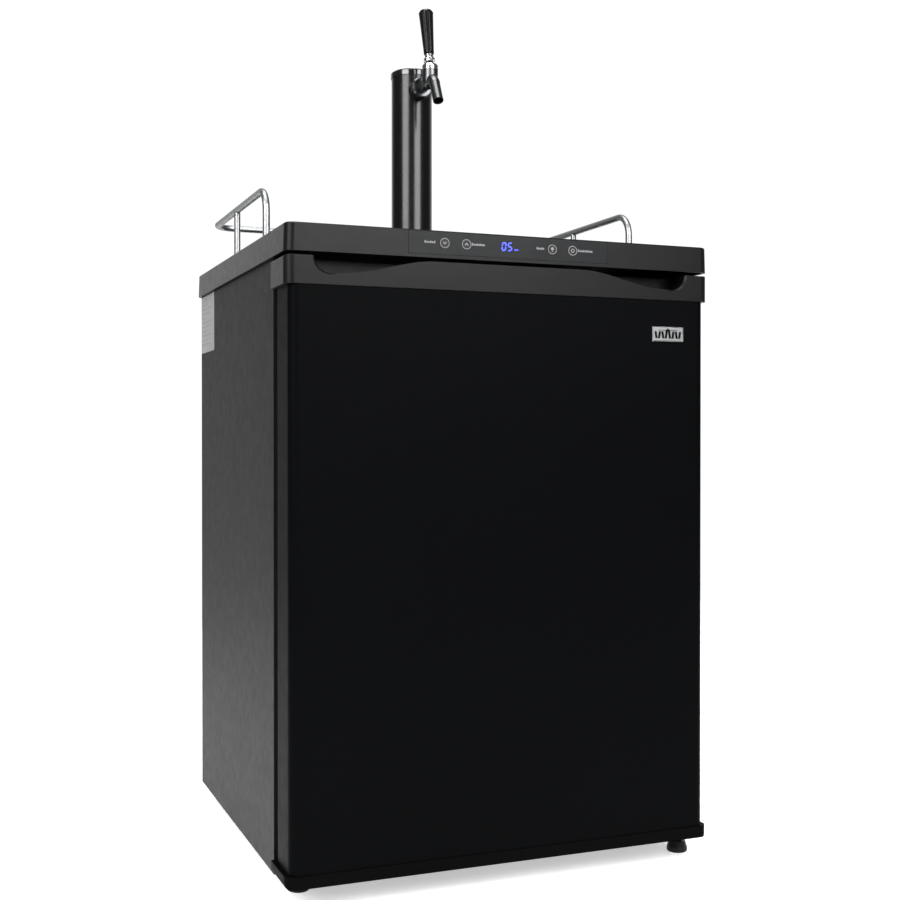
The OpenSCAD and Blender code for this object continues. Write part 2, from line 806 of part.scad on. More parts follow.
module condenser_spacers() {
  color("#2a2a2b") difference() {
    for (x = [-150, 150], z = [pass_z(0), coil_z])
      slab([x - 7, foam_back_y + sheet, z - 15], [x + 7, back_y, z + 15]);
    for (z = [pass_z(0), coil_z])
      rod_x(-170, 170, coil_y, z, coil_r);
  }
}

module evaporator_plate() {
  color("#b9bec2")
    slab([-200, inner_back_y + liner_t, 300], [200, inner_back_y + liner_t + 2, 700]);
}

module fan_housing() {
  half = 65;
  color("#d9dadb") union() {
    difference() {
      translate([fan_x, inner_back_y, fan_z]) rotate([90, 0, 0]) linear_extrude(26)
        round_rect([-half, -half], [half, half], 8);
      rod_y(fan_x, fan_y - 1, inner_back_y + 1, fan_z, fan_bore_r);
    }
    rod_y(fan_x, inner_back_y - 7, inner_back_y, fan_z, 18);
    for (a = [30 : 120 : 270])
      translate([fan_x, 0, fan_z]) rotate([0, a, 0])
        slab([10, inner_back_y - 4, -3], [fan_bore_r + 2, inner_back_y, 3]);
    for (a = [0 : 45 : 135])
      translate([fan_x, 0, fan_z]) rotate([0, a, 0])
        slab([-fan_bore_r - 2, fan_y, -1.2], [fan_bore_r + 2, fan_y + 2, 1.2]);
    for (r = [16 : 10 : 46])
      translate([fan_x, fan_y + 2, fan_z]) rotate([90, 0, 0])
        linear_extrude(2) difference() {
          circle(r + 1.2);
          circle(r - 1.2);
        }
  }
}

module fan_rotor() {
  color("#e8e9ea") union() {
    rod_y(fan_x, fan_y + 3, inner_back_y - 7.4, fan_z, 17);
    for (a = [0 : 360 / 7 : 359])
      translate([fan_x, fan_y + 10, fan_z]) rotate([0, a, 0]) translate([35, 0, 0])
        rotate([35, 0, 0]) cube([40, 1.6, 14], center = true);
  }
}

// ---- Gas and beer lines ----

module gas_cylinder() {
  r = gas_d / 2;
  color("#b7babc") translate([gas_x, gas_y, inner_z]) rotate_extrude()
    polygon([
      [0, 0], [r - 12, 0], [r - 4, 3], [r, 12], [r, 290], [r - 4, 308], [r - 14, 324], [r - 28, 335],
      [18, 340], [18, 352], [0, 352]
    ]);
}

module gas_regulator() {
  color("#b08d4a") union() {
    // Cylinder valve
    rod_z(gas_x, gas_y, inner_z + 352, reg_z + 14, 13);
    rod_z(gas_x, gas_y, reg_z + 14, reg_z + 30, 4);
    rod_y(gas_x, gas_y, gas_y + 34, reg_z, 9);
    // Inlet nut and regulator body
    translate([gas_x, gas_y + 28, reg_z]) rotate([-90, 0, 0]) cylinder(r = 15, h = 16, $fn = 6);
    rod_y(gas_x, gas_y + 40, reg_y, reg_z, 7);
    rod_x(gas_x - 18, gas_x + 18, reg_y, reg_z, 20);
    translate([gas_x - 18, reg_y, reg_z]) rotate([0, -90, 0]) cylinder(r1 = 18, r2 = 13, h = 14);
    rod_x(gas_x - 44, gas_x - 31, reg_y, reg_z, 5);
    rod_x(gas_x + 17, gas_x + 26, reg_y, reg_z, 5);
    rod_z(gas_x, reg_y, reg_z + 17, reg_z + 32, 5);
    rod_z(gas_x, reg_y, reg_z - 44, reg_z - 17, 5);
    rod_z(gas_x, reg_y, reg_z - 30, reg_z - 18, 8);
  }
}

module gauge(x, z, r) {
  difference() {
    rod_y(x, reg_y - 9, reg_y + 8, z, r);
    rod_y(x, reg_y - 10, reg_y - 7, z, r - 2);
  }
}

module pressure_gauges() {
  color("#d7d8d9") union() {
    gauge(gas_x + 42, reg_z, 16);
    gauge(gas_x, reg_z + 51, 19);
  }
}

// A round knob with finger flutes and a bore, on +Z
module knob(r, h, bore) {
  difference() {
    rotate_extrude() polygon([[bore, 0], [r - 1.5, 0], [r, 1.5], [r, h - 1.5], [r - 1.5, h], [bore, h]]);
    for (a = [0 : 45 : 315])
      rotate(a) translate([r + 2, 0, -1]) cylinder(r = 4, h = h + 2);
  }
}

module cylinder_knob() {
  color("#1c4f8a") translate([gas_x, gas_y, reg_z + 16]) knob(20, 12, 4 + running);
}

module regulator_knob() {
  color("#202122") translate([gas_x - 33, reg_y, reg_z]) rotate([0, -90, 0]) knob(15, 12, 5 + running);
}

module keg_coupler() {
  color("#c2c5c7") difference() {
    union() {
      translate([coupler_x, coupler_y, hump_z]) rotate_extrude()
        polygon([
          [0, 0], [26, 0], [26, 7], [17, 10], [17, 92], [11, 98], [11, 112], [6, 114], [5.5, 135], [0, 135]
        ]);
      rod_x(coupler_x, coupler_x + 36, coupler_y, hump_z + 43, 8);
      rod_x(coupler_x, coupler_x + 45, coupler_y, hump_z + 43, 5);
      rod_y(coupler_x, coupler_y - 26, coupler_y + 26, coupler_pivot_z, 4);
    }
    rod_z(coupler_x, coupler_y, hump_z - 1, hump_z + 140, 3.2);
  }
}

module coupler_lever() {
  color("#17181a") translate([coupler_x, coupler_y, coupler_pivot_z]) rotate([0, lever_lift, 0]) {
    for (s = [-1, 1])
      difference() {
        union() {
          rod_y(0, s * 21 - 3, s * 21 + 3, 0, 9);
          slab([-lever_l, s * 21 - 3, -5], [0, s * 21 + 3, 5]);
        }
        rod_y(0, s * 21 - 4, s * 21 + 4, 0, 4 + running);
      }
    rod_y(-lever_l, -24, 24, 0, 8);
  }
}

module beer_line() {
  color("#dfe6e8") swept_tube(beer_route, beer_line_d / 2, 10, 45);
}

module gas_line() {
  color("#b3252b") swept_tube(gas_route, gas_line_d / 2, 10, 25);
}

// A saddle clip that holds a vertical line to the back wall
module wall_clip(x, z, r) {
  translate([x, line_y, z - 4]) linear_extrude(8) difference() {
    union() {
      circle(r + 2.2);
      translate([-r - 5, inner_back_y - line_y - 2]) square([2 * r + 10, 2]);
      translate([-r - 2, 0]) square([2 * r + 4, inner_back_y - line_y - 1]);
    }
    circle(r);
  }
}

module line_clips() {
  color("#e4e5e6") union() {
    for (z = [620, 680])
      wall_clip(coupler_x, z, beer_line_d / 2);
    for (x = [110, 140])
      translate([x, line_y, 275]) rotate([0, 90, 0]) translate([0, -line_y, 0])
        wall_clip(0, 0, gas_line_d / 2);
  }
}

// ---- Door ----

// The door's plan outline: rounded front corners, square back
module door_plan(x, front, back, r) {
  translate([-x, front + r]) square([2 * x, back - front - r]);
  translate([-x + r, front]) square([2 * x - 2 * r, r + 1]);
  for (s = [-1, 1])
    translate([s * (x - r), front + r]) circle(r);
}

module door_skin() {
  color("#161718") translate([0, 0, skin_z]) linear_extrude(skin_top_z - skin_z) difference() {
    door_plan(skin_x, skin_front_y, door_back_y - 2, cap_r);
    door_plan(skin_x - sheet, skin_front_y + sheet, door_back_y, cap_r - sheet);
  }
}

module door_foam() {
  color("#e8d9a8") difference() {
    translate([0, 0, skin_z]) linear_extrude(skin_top_z - skin_z)
      door_plan(skin_x - sheet, skin_front_y + sheet, door_back_y - 2, cap_r - sheet);
    slab([-227, door_recess_y - 2, 83], [227, door_back_y, 747]);
  }
}

module door_liner() {
  color("#f0f0ee") difference() {
    union() {
      slab([-skin_x + sheet, door_back_y - 2, skin_z], [skin_x - sheet, door_back_y, skin_top_z]);
      slab([-227, door_recess_y - 2, 83], [227, door_back_y, 747]);
    }
    slab([-225, door_recess_y, 85], [225, door_back_y + 1, 745]);
  }
}

module door_gasket() {
  color("#3b3c3d") translate([0, gasket_y, 0]) rotate([90, 0, 0]) linear_extrude(gasket_y - door_back_y)
    difference() {
      round_rect([-284, 56], [284, 768], 6);
      round_rect([-266, 74], [266, 750], 3);
    }
}

// A trim block that closes the top or the bottom of the door; the half from square_z up keeps square corners
module trim_block(low, high, edge_r, square_z) {
  intersection() {
    translate([0, 0, low]) linear_extrude(high - low) union() {
      door_plan(half_w, front_y, trim_back_y - 3, cap_r);
      translate([-half_w + 3, trim_back_y - 4]) square([2 * half_w - 6, 4]);
      for (s = [-1, 1])
        translate([s * (half_w - 3), trim_back_y - 3]) circle(3);
    }
    translate([0, back_y, 0]) rotate([90, 0, 0]) linear_extrude(unit_d + 1) union() {
      round_rect([-half_w, low], [half_w, high], edge_r);
      translate([-half_w, square_z]) square([unit_w, (high - low) / 2]);
    }
  }
}

function lip_drop(t) = t * t * (3 - 2 * t);

// Outline of the opening above the scoop's lip on one side, in X and Z
module lip_opening() {
  top = door_top_z;
  depth = scoop_depth;
  end_x = scoop_half - depth;
  fall = end_x - 14 - lip_half;
  polygon(concat(
    [for (i = [0 : 12]) [lip_half + fall * i / 12, top - depth * lip_drop(i / 12)]],
    [for (a = [-90 : 10 : 0]) [end_x + depth * cos(a), top + depth * sin(a)]],
    [[scoop_half, top + 2], [lip_half, top + 2]]
  ));
}

module door_top_trim() {
  pocket_z = skin_top_z + 7;
  color("#2f3032") difference() {
    trim_block(skin_top_z, door_top_z, 3, skin_top_z);
    // Finger pocket behind the lip
    translate([0, front_y + 41, 0]) rotate([90, 0, 0]) linear_extrude(37) {
      round_rect([-scoop_half, pocket_z], [scoop_half, door_top_z + 30], scoop_depth);
    }
    for (s = [0, 1])
      mirror([s, 0, 0]) {
        translate([0, front_y + 5, 0]) rotate([90, 0, 0]) linear_extrude(6) lip_opening();
        // Bevel round the end of the lip
        translate([scoop_half - scoop_depth, front_y - 1, door_top_z]) rotate([-90, 0, 0])
          cylinder(r1 = scoop_depth + 3.5, r2 = scoop_depth - 0.5, h = 4);
      }
    rod_z(hinge_x, hinge_y, skin_top_z + 8, door_top_z + 1, pin_r + running);
  }
}

module door_bottom_trim() {
  color("#2f3032") difference() {
    trim_block(door_z, skin_z, 7, (door_z + skin_z) / 2);
    rod_z(hinge_x, hinge_y, door_z - 1, 47, low_pin_r + running);
  }
}

module badge_plate() {
  color("#c9cbcd") translate([0, skin_front_y, 0]) rotate([90, 0, 0]) linear_extrude(1.2)
    round_rect([211, 719.6], [260, 739.6], 1.5);
}

left_side_panel();
right_side_panel();
top_panel();
insulation_foam();
inner_liner();
rear_panel();
base_frame();
worktop_cap();
control_fascia();
control_board();
button(0);  // button_cooler
button(1);  // button_warmer
button(2);  // button_light
button(3);  // button_power
guard_rail();
tower_column();
tower_insulation();
tower_cap();
top_fasteners();
tap_shank();
coupling_nut();
faucet_body();
faucet_bonnet();
faucet_plunger();
tap_lever();
tap_handle();
drip_pan();
drip_grille();
upper_hinge();
lower_hinge();
foot(-foot_x, foot_front_y, 44);  // foot_front_left
foot(hinge_x, hinge_y, door_z - 0.5);  // foot_front_right
foot(-foot_x, foot_rear_y, 44);  // foot_rear_left
foot(foot_x, foot_rear_y, 44);  // foot_rear_right
compressor();
compressor_mounts();
terminal_cover();
evaporation_tray();
condenser_coil();
condenser_spacers();
evaporator_plate();
fan_housing();
fan_rotor();
gas_cylinder();
gas_regulator();
pressure_gauges();
cylinder_knob();
regulator_knob();
keg_coupler();
coupler_lever();
beer_line();
gas_line();
line_clips();
door_skin();
door_top_trim();
door_bottom_trim();
door_foam();
door_liner();
door_gasket();
badge_plate();
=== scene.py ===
import json
import math

import bmesh
import bpy
from mathutils import Matrix, Vector


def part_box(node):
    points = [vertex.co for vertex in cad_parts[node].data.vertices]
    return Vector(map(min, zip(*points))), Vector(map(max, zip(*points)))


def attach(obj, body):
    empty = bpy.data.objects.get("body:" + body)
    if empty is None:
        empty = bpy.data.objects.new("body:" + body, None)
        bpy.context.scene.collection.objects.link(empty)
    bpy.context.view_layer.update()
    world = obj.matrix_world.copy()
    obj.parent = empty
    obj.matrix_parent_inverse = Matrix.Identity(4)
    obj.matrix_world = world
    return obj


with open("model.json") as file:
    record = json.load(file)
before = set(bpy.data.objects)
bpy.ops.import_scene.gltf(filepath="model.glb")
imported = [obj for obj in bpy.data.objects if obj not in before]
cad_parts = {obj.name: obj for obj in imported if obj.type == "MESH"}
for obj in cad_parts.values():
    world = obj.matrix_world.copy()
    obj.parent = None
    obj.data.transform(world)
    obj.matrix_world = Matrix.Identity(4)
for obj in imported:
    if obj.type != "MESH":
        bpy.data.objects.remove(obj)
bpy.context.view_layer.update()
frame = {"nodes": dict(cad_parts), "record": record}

MM = 0.001
ROOT = "cabinet"

LENS_MM = 51.425
CAMERA_PLACE = Vector((-0.6889, -1.8366, 0.5840))
CAMERA_PITCH = math.radians(-0.418)
# The camera looks this far from +Y towards +X, and the studio is white in that direction
VIEW_YAW = math.radians(21.597)

FLOOR_HALF_WIDTH = 2.2
LIGHT_DISTANCE = 2.6
LIGHT_HEIGHT = 1.9


# ---------------------------------------------------------------- camera, floor and light

def add_camera():
    """The view of an eye low in front of the left corner, level with the door's upper half."""
    data = bpy.data.cameras.new("camera")
    data.sensor_width = 36
    data.lens = LENS_MM
    camera = bpy.data.objects.new("camera", data)
    camera.location = CAMERA_PLACE
    camera.rotation_euler = (math.pi / 2 + CAMERA_PITCH, 0, -VIEW_YAW)
    bpy.context.scene.collection.objects.link(camera)
    bpy.context.scene.camera = camera


def add_softbox(name, aim, azimuth, distance, height, size, radiance):
    """A rectangular light of a radiance, at an azimuth in degrees from -Y towards -X about the aim."""
    data = bpy.data.lights.new(name, "AREA")
    data.shape = "RECTANGLE"
    data.size, data.size_y = size
    data.energy = radiance * math.pi * size[0] * size[1]
    light = bpy.data.objects.new(name, data)
    a = math.radians(azimuth)
    light.location = aim + Vector((-math.sin(a) * distance, -math.cos(a) * distance, height - aim.z))
    light.rotation_euler = (aim - light.location).to_track_quat("-Z", "Y").to_euler()
    bpy.context.scene.collection.objects.link(light)


def add_world():
    """A studio that is white behind the object, as the camera sees it, and dim elsewhere."""
    world = bpy.data.worlds.new("studio")
    bpy.context.scene.world = world
    world.use_nodes = True
    tree = world.node_tree
    tree.nodes.clear()
    where = tree.nodes.new("ShaderNodeTexCoord")
    facing = tree.nodes.new("ShaderNodeVectorMath")
    facing.operation = "DOT_PRODUCT"
    facing.inputs[1].default_value = (math.sin(VIEW_YAW), math.cos(VIEW_YAW), 0)
    ramp = tree.nodes.new("ShaderNodeMapRange")
    ramp.interpolation_type = "SMOOTHSTEP"
    limits = (("From Min", 0.5), ("From Max", 0.87), ("To Min", 0.12), ("To Max", 1.05))
    for socket, value in limits:
        ramp.inputs[socket].default_value = value
    back = tree.nodes.new("ShaderNodeBackground")
    back.inputs["Color"].default_value = (1, 1, 1, 1)
    out = tree.nodes.new("ShaderNodeOutputWorld")
    tree.links.new(where.outputs["Generated"], facing.inputs[0])
    tree.links.new(facing.outputs["Value"], ramp.inputs["Value"])
    tree.links.new(ramp.outputs[0], back.inputs["Strength"])
    tree.links.new(back.outputs[0], out.inputs[0])


def add_studio():
    """Two soft lights in front, seen as two bands in the tower, and one overhead."""
    bpy.context.scene.view_settings.view_transform = "Standard"
    add_world()
    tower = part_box("tower_column")
    aim = (tower[0] + tower[1]) / 2
    front_lights = (("key_light", 55, (1.6, 1.6), 12.0), ("right_light", -12.7, (1.6, 1.7), 12.5))
    for name, azimuth, size, radiance in front_lights:
        add_softbox(name, aim, azimuth, LIGHT_DISTANCE, LIGHT_HEIGHT, size, radiance)
    left_front = Vector((-0.5, -0.4, 0))
    add_softbox("top_light", left_front, azimuth=0, distance=0.01, height=4.4, size=(2.4, 2.4), radiance=10)


def add_floor():
    """A pale floor that glows a little, and that ends where the white studio takes over."""
    build = bmesh.new()
    bmesh.ops.create_grid(build, x_segments=8, y_segments=8, size=FLOOR_HALF_WIDTH)
    mesh = bpy.data.meshes.new("floor")
    build.to_mesh(mesh)
    build.free()
    floor = bpy.data.objects.new("floor", mesh)
    bpy.context.scene.collection.objects.link(floor)
    paint = Finish("pale_floor", (0.93, 0.93, 0.93), 0.9, specular=0, spread=0.01)
    paint.emit((1, 1, 1), scale=4, low=0.48, high=0.5)
    floor.data.materials.append(paint.material)


# ---------------------------------------------------------------- materials

class Finish:
    """A Principled material whose colour and roughness vary by noise in object space."""

    def __init__(self, name, colour, rough, metal=0.0, specular=0.5, coat=0.0, coat_rough=0.05,
                 spread=0.08):
        self.material = bpy.data.materials.new(name)
        self.material.use_nodes = True
        self.tree = self.material.node_tree
        self.shader = self.tree.nodes["Principled BSDF"]
        self.colour = colour
        self.shader.inputs["Metallic"].default_value = metal
        self.shader.inputs["Specular IOR Level"].default_value = specular
        self.shader.inputs["Coat Weight"].default_value = coat
        self.shader.inputs["Coat Roughness"].default_value = coat_rough
        self.where = self.tree.nodes.new("ShaderNodeTexCoord")
        self.normal = None
        self.vary_colour(spread, scale=6)
        self.vary_roughness(rough, min(rough * 0.1, 0.03), scale=70)

    def noise(self, scale, detail=4, stretch=(1, 1, 1)):
        """Noise with features about 1 / scale metres apart."""
        mapping = self.tree.nodes.new("ShaderNodeMapping")
        mapping.inputs["Scale"].default_value = stretch
        texture = self.tree.nodes.new("ShaderNodeTexNoise")
        texture.inputs["Scale"].default_value = scale
        texture.inputs["Detail"].default_value = detail
        self.tree.links.new(self.where.outputs["Object"], mapping.inputs["Vector"])
        self.tree.links.new(mapping.outputs[0], texture.inputs["Vector"])
        return texture.outputs["Fac"]

    def to_range(self, source, low, high, from_low=0.3, from_high=0.7):
        node = self.tree.nodes.new("ShaderNodeMapRange")
        limits = (("From Min", from_low), ("From Max", from_high), ("To Min", low), ("To Max", high))
        for socket, value in limits:
            node.inputs[socket].default_value = value
        self.tree.links.new(source, node.inputs["Value"])
        return node.outputs[0]

    def vary_colour(self, amount, scale):
        ramp = self.tree.nodes.new("ShaderNodeValToRGB")
        ramp.color_ramp.elements[0].position = 0.3
        ramp.color_ramp.elements[1].position = 0.7
        ramp.color_ramp.elements[0].color = [c * (1 - amount) for c in self.colour] + [1]
        ramp.color_ramp.elements[1].color = [min(c * (1 + amount), 1) for c in self.colour] + [1]
        self.tree.links.new(self.noise(scale), ramp.inputs[0])
        self.tree.links.new(ramp.outputs[0], self.shader.inputs["Base Color"])

    def vary_roughness(self, rough, amount, scale, stretch=(1, 1, 1)):
        noise = self.noise(scale, stretch=stretch)
        value = self.to_range(noise, max(rough - amount, 0.02), rough + amount)
        self.tree.links.new(value, self.shader.inputs["Roughness"])

    def soften_edges(self, radius_mm):
        """Shades sharp edges as if they were rounded."""
        node = self.tree.nodes.new("ShaderNodeBevel")
        node.samples = 4
        node.inputs["Radius"].default_value = radius_mm * MM
        self.normal = node.outputs[0]
        self.tree.links.new(self.normal, self.shader.inputs["Normal"])

    def bump(self, scale, height_mm, strength, stretch=(1, 1, 1)):
        """Adds relief of a height in mm over what is there already."""
        node = self.tree.nodes.new("ShaderNodeBump")
        node.inputs["Strength"].default_value = strength
        node.inputs["Distance"].default_value = height_mm * MM
        self.tree.links.new(self.noise(scale, 2, stretch), node.inputs["Height"])
        if self.normal:
            self.tree.links.new(self.normal, node.inputs["Normal"])
        self.normal = node.outputs[0]
        self.tree.links.new(self.normal, self.shader.inputs["Normal"])

    def emit(self, colour, scale, low, high):
        """Lets the surface give off light of a strength that varies between low and high."""
        self.shader.inputs["Emission Color"].default_value = list(colour) + [1]
        level = self.to_range(self.noise(scale), low, high)
        self.tree.links.new(level, self.shader.inputs["Emission Strength"])


def finish(name, colour, rough, *reliefs, edge=0.0, **kind):
    """A material with any number of reliefs, each (scale, height in mm, strength), and soft edges in mm."""
    made = Finish(name, colour, rough, **kind)
    if edge:
        made.soften_edges(edge)
    for relief in reliefs:
        made.bump(*relief)
    return made.material


def brushed(name, colour, rough, stretch):
    """Metal with the fine lines of brushing, which run along the axes where stretch is small."""
    made = Finish(name, colour, rough, metal=1)
    made.vary_roughness(rough, 0.08, scale=500, stretch=stretch)
    made.bump(scale=900, height_mm=0.02, strength=0.5, stretch=stretch)
    return made.material


def glow(name, colour, strength):
    """A lit display segment or lamp lens, a little uneven."""
    made = Finish(name, [c * 0.3 for c in colour], 0.4)
    made.emit(colour, scale=900, low=strength * 0.9, high=strength * 1.1)
    return made.material


# Reliefs that several finishes share
STIPPLE = (1500, 0.05, 0.6)
GRAIN = (1800, 0.07, 0.6)
# One finish for each material slot of the record
FINISH = {
    "cabinet_steel": finish("painted_side_steel", (0.004, 0.004, 0.0045), 0.5,
                            STIPPLE, specular=0.09, spread=0.04),
    "door_steel": finish("painted_door_steel", (0.0012, 0.0013, 0.0015), 0.45,
                         STIPPLE, specular=0.014, spread=0.04),
    "hidden_steel": brushed("galvanised_steel", (0.26, 0.265, 0.27), 0.45, (1, 1, 0.2)),
    "foam": finish("rigid_foam", (0.74, 0.62, 0.34), 0.85, (300, 0.6, 0.8)),
    "liner_white": finish("moulded_pale_liner", (0.36, 0.375, 0.37), 0.4,
                          (900, 0.03, 0.4), specular=0.3, edge=1.5),
    "base_steel": finish("painted_base_steel", (0.010, 0.010, 0.011), 0.5, (1200, 0.06, 0.6), edge=0.6),
    "worktop_plastic": finish("textured_worktop_plastic", (0.004, 0.004, 0.0045), 0.32,
                              GRAIN, specular=0.097, edge=0.8),
    "trim_plastic": finish("textured_trim_plastic", (0.0045, 0.0045, 0.005), 0.34,
                           GRAIN, specular=0.085, edge=0.8),
    "fascia_plastic": finish("smooth_panel_film", (0.0035, 0.004, 0.0045), 0.32,
                             (2500, 0.02, 0.4), specular=0.1),
    "board_green": finish("circuit_board", (0.012, 0.11, 0.035), 0.35, (700, 0.1, 0.6)),
    "button_grey": finish("moulded_button", (0.004, 0.004, 0.0045), 0.3,
                          (2000, 0.02, 0.4), specular=0.12, edge=0.6),
    "chrome": finish("polished_chrome", (0.55, 0.56, 0.57), 0.16, (260, 0.01, 0.25), metal=1, edge=0.3),
    "tower_black": finish("gloss_black_paint", (0.0025, 0.0025, 0.003), 0.25,
                          (200, 0.02, 0.25), specular=0.2, coat=0.25, coat_rough=0.18),
    "gloss_black": finish("gloss_black_plastic", (0.004, 0.004, 0.0045), 0.16,
                          (300, 0.01, 0.3), coat=0.4),
    "stainless": brushed("brushed_stainless", (0.36, 0.36, 0.355), 0.36, (0.1, 1, 1)),
    "grille_black": finish("moulded_grille", (0.012, 0.012, 0.013), 0.45, STIPPLE, edge=0.5),
    "hinge_black": finish("painted_hinge_steel", (0.008, 0.008, 0.009), 0.4,
                          (800, 0.05, 0.6), specular=0.25, edge=0.4),
    "foot_black": finish("foot_plastic", (0.004, 0.004, 0.0045), 0.35,
                         (1200, 0.05, 0.5), specular=0.2, edge=0.5),
    "compressor_black": finish("compressor_enamel", (0.008, 0.008, 0.009), 0.28,
                               (90, 0.25, 0.4), (900, 0.04, 0.4)),
    "rubber_black": finish("mount_rubber", (0.014, 0.014, 0.014), 0.75, (900, 0.12, 0.7)),
    "black_plastic": finish("ribbed_black_plastic", (0.013, 0.013, 0.014), 0.5,
                            (1300, 0.08, 0.6), edge=0.6),
    "coil_black": finish("condenser_enamel", (0.010, 0.010, 0.011), 0.45, (700, 0.08, 0.6)),
    "fan_white": finish("fan_plastic", (0.27, 0.28, 0.275), 0.45,
                        (1000, 0.05, 0.4), specular=0.3, edge=0.6),
    "cylinder_aluminium": brushed("spun_aluminium", (0.36, 0.365, 0.37), 0.4, (0.1, 0.1, 1)),
    "brass": finish("forged_brass", (0.66, 0.47, 0.18), 0.3, (300, 0.08, 0.5), metal=1, edge=0.5),
    "gauge_chrome": finish("gauge_case", (0.74, 0.75, 0.76), 0.14, (200, 0.02, 0.3), metal=1),
    "knob_blue": finish("blue_valve_plastic", (0.015, 0.075, 0.30), 0.35, (900, 0.06, 0.5), edge=0.6),
    "knob_black": finish("black_knob_plastic", (0.012, 0.012, 0.013), 0.38,
                         (1100, 0.06, 0.5), edge=0.6),
    "beer_hose": finish("clear_beer_hose", (0.22, 0.245, 0.245), 0.3, (500, 0.04, 0.4), specular=0.3),
    "gas_hose": finish("red_gas_hose", (0.36, 0.015, 0.015), 0.3, (500, 0.04, 0.4)),
    # Black rubber, made far darker than the other rubber: the extra darkness is painted shade for the gap
    # between door and cabinet
    "gasket_rubber": finish("black_gasket_with_painted_gap_shade", (0.0015, 0.0015, 0.0015), 0.8,
                            (900, 0.08, 0.5), specular=0),
}
BLUE_LIGHT = glow("blue_segment", (0.035, 0.06, 1.0), 1.6)
LAMP_LIGHT = glow("lamp_lens", (0.85, 0.9, 1.0), 0.4)
PRINT_GREY = finish("panel_print", (0.19, 0.19, 0.195), 0.6, (2500, 0.01, 0.4), specular=0.1)
DARK_INK = finish("dark_ink", (0.002, 0.002, 0.002), 0.6, (2500, 0.01, 0.4), specular=0.02)
LABEL = finish("label_film", (0.2, 0.2, 0.2), 0.5, (300, 0.03, 0.4), specular=0.2)
LABEL_INK = finish("label_print", (0.14, 0.14, 0.14), 0.5, (2500, 0.01, 0.4), specular=0.2)
BADGE_METAL = finish("badge_metal", (0.30, 0.31, 0.31), 0.3, (400, 0.02, 0.3), metal=1)
BAND = finish("cylinder_band", (0.02, 0.09, 0.05), 0.4, (900, 0.02, 0.4))
DIAL = finish("gauge_dial", (0.80, 0.80, 0.78), 0.4, (900, 0.02, 0.3))
STEEL = finish("zinc_plated_steel", (0.55, 0.55, 0.54), 0.28, (900, 0.04, 0.4), metal=1)
COPPER = finish("copper_pipe", (0.62, 0.27, 0.16), 0.28, (500, 0.03, 0.4), metal=1)
# A darker copy of the chrome: its dark colour is painted shade, standing in for the dark surroundings that
# the tap's body, shank and nut reflect
SHADED_CHROME = finish("chrome_with_painted_shade", (0.085, 0.087, 0.09), 0.3, (260, 0.01, 0.25), metal=1, edge=0.3)
# Nodes that look unlike the rest of their slot
OWN_FINISH = {
    # The rail's satin roughness is its own; its colour, darker than the chrome of its collars, is painted
    # shade that dims the lamps' reflections
    "guard_rail": finish("satin_chrome_with_painted_shade", (0.25, 0.255, 0.26), 0.4, (260, 0.01, 0.25), metal=1),
    # The tap's body, shank and nut share the chrome darkened with painted shade
    "faucet_body": SHADED_CHROME,
    "coupling_nut": SHADED_CHROME,
    "tap_shank": SHADED_CHROME,
    "badge_plate": BADGE_METAL,
    # A darker copy of the trim plastic: the lower trim's extra darkness is painted shade, making it as dark
    # as the door beside it
    "door_bottom_trim": finish("lower_trim_plastic_with_painted_shade", (0.0014, 0.0014, 0.0016), 0.48,
                               GRAIN, specular=0.012, edge=0.8),
    "tap_handle": finish("polished_handle", (0.004, 0.004, 0.0045), 0.2,
                         (300, 0.01, 0.3), specular=0.1, coat=0.12, coat_rough=0.12, edge=0.5),
}


def dress_cad_nodes():
    """Gives each CAD node its own finish, or else that of its slot in the record."""
    slots = {s["node"]: s["material_slot"] for s in frame["record"]["subparts"]}
    for name, node in frame["nodes"].items():
        node.data.materials.clear()
        node.data.materials.append(OWN_FINISH.get(name, FINISH[slots[name]]))


# ---------------------------------------------------------------- building pieces

def add_piece(name, mesh_or_curve, body, material):
    piece = bpy.data.objects.new(name, mesh_or_curve)
    bpy.context.scene.collection.objects.link(piece)
    piece.data.materials.append(material)
    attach(piece, body)
    return piece


def add_mesh(name, build, place, body, material):
    bmesh.ops.recalc_face_normals(build, faces=build.faces)
    build.transform(place)
    mesh = bpy.data.meshes.new(name)
    build.to_mesh(mesh)
    build.free()
    return add_piece(name, mesh, body, material)


def extruded(name, outlines, place, thickness, body, material, bevel=0.0):
    """Flat shapes in mm, each a list of (u, v), pushed out of the place matrix's XY plane along its +Z."""
    build = bmesh.new()
    for outline in outlines:
        back = [build.verts.new(Vector((u, v, 0)) * MM) for u, v in outline]
        front = [build.verts.new(Vector((u, v, thickness)) * MM) for u, v in outline]
        build.faces.new(front)
        build.faces.new(list(reversed(back)))
        for i in range(len(outline)):
            j = (i + 1) % len(outline)
            build.faces.new((back[i], back[j], front[j], front[i]))
    piece = add_mesh(name, build, place, body, material)
    if bevel:
        modifier = piece.modifiers.new("edges", "BEVEL")
        modifier.width = bevel * MM
        modifier.segments = 2
    return piece


def turned(name, profile, places, body, material, sides=40):
    """A closed (radius, height) profile in mm turned about +Z of each place matrix."""
    build = bmesh.new()
    for place in places:
        rings = []
        for i in range(sides):
            a = 2 * math.pi * i / sides
            points = [Vector((r * math.cos(a), r * math.sin(a), h)) * MM for r, h in profile]
            rings.append([build.verts.new(place @ p) for p in points])
        for i in range(sides):
            for k in range(len(profile)):
                m = (k + 1) % len(profile)
                j = (i + 1) % sides
                build.faces.new((rings[i][k], rings[j][k], rings[j][m], rings[i][m]))
    bmesh.ops.remove_doubles(build, verts=build.verts, dist=1e-6)
    piece = add_mesh(name, build, Matrix.Identity(4), body, material)
    for polygon in piece.data.polygons:
        polygon.use_smooth = True
    edges = piece.modifiers.new("sharp", "EDGE_SPLIT")
    edges.split_angle = math.radians(35)
    return piece


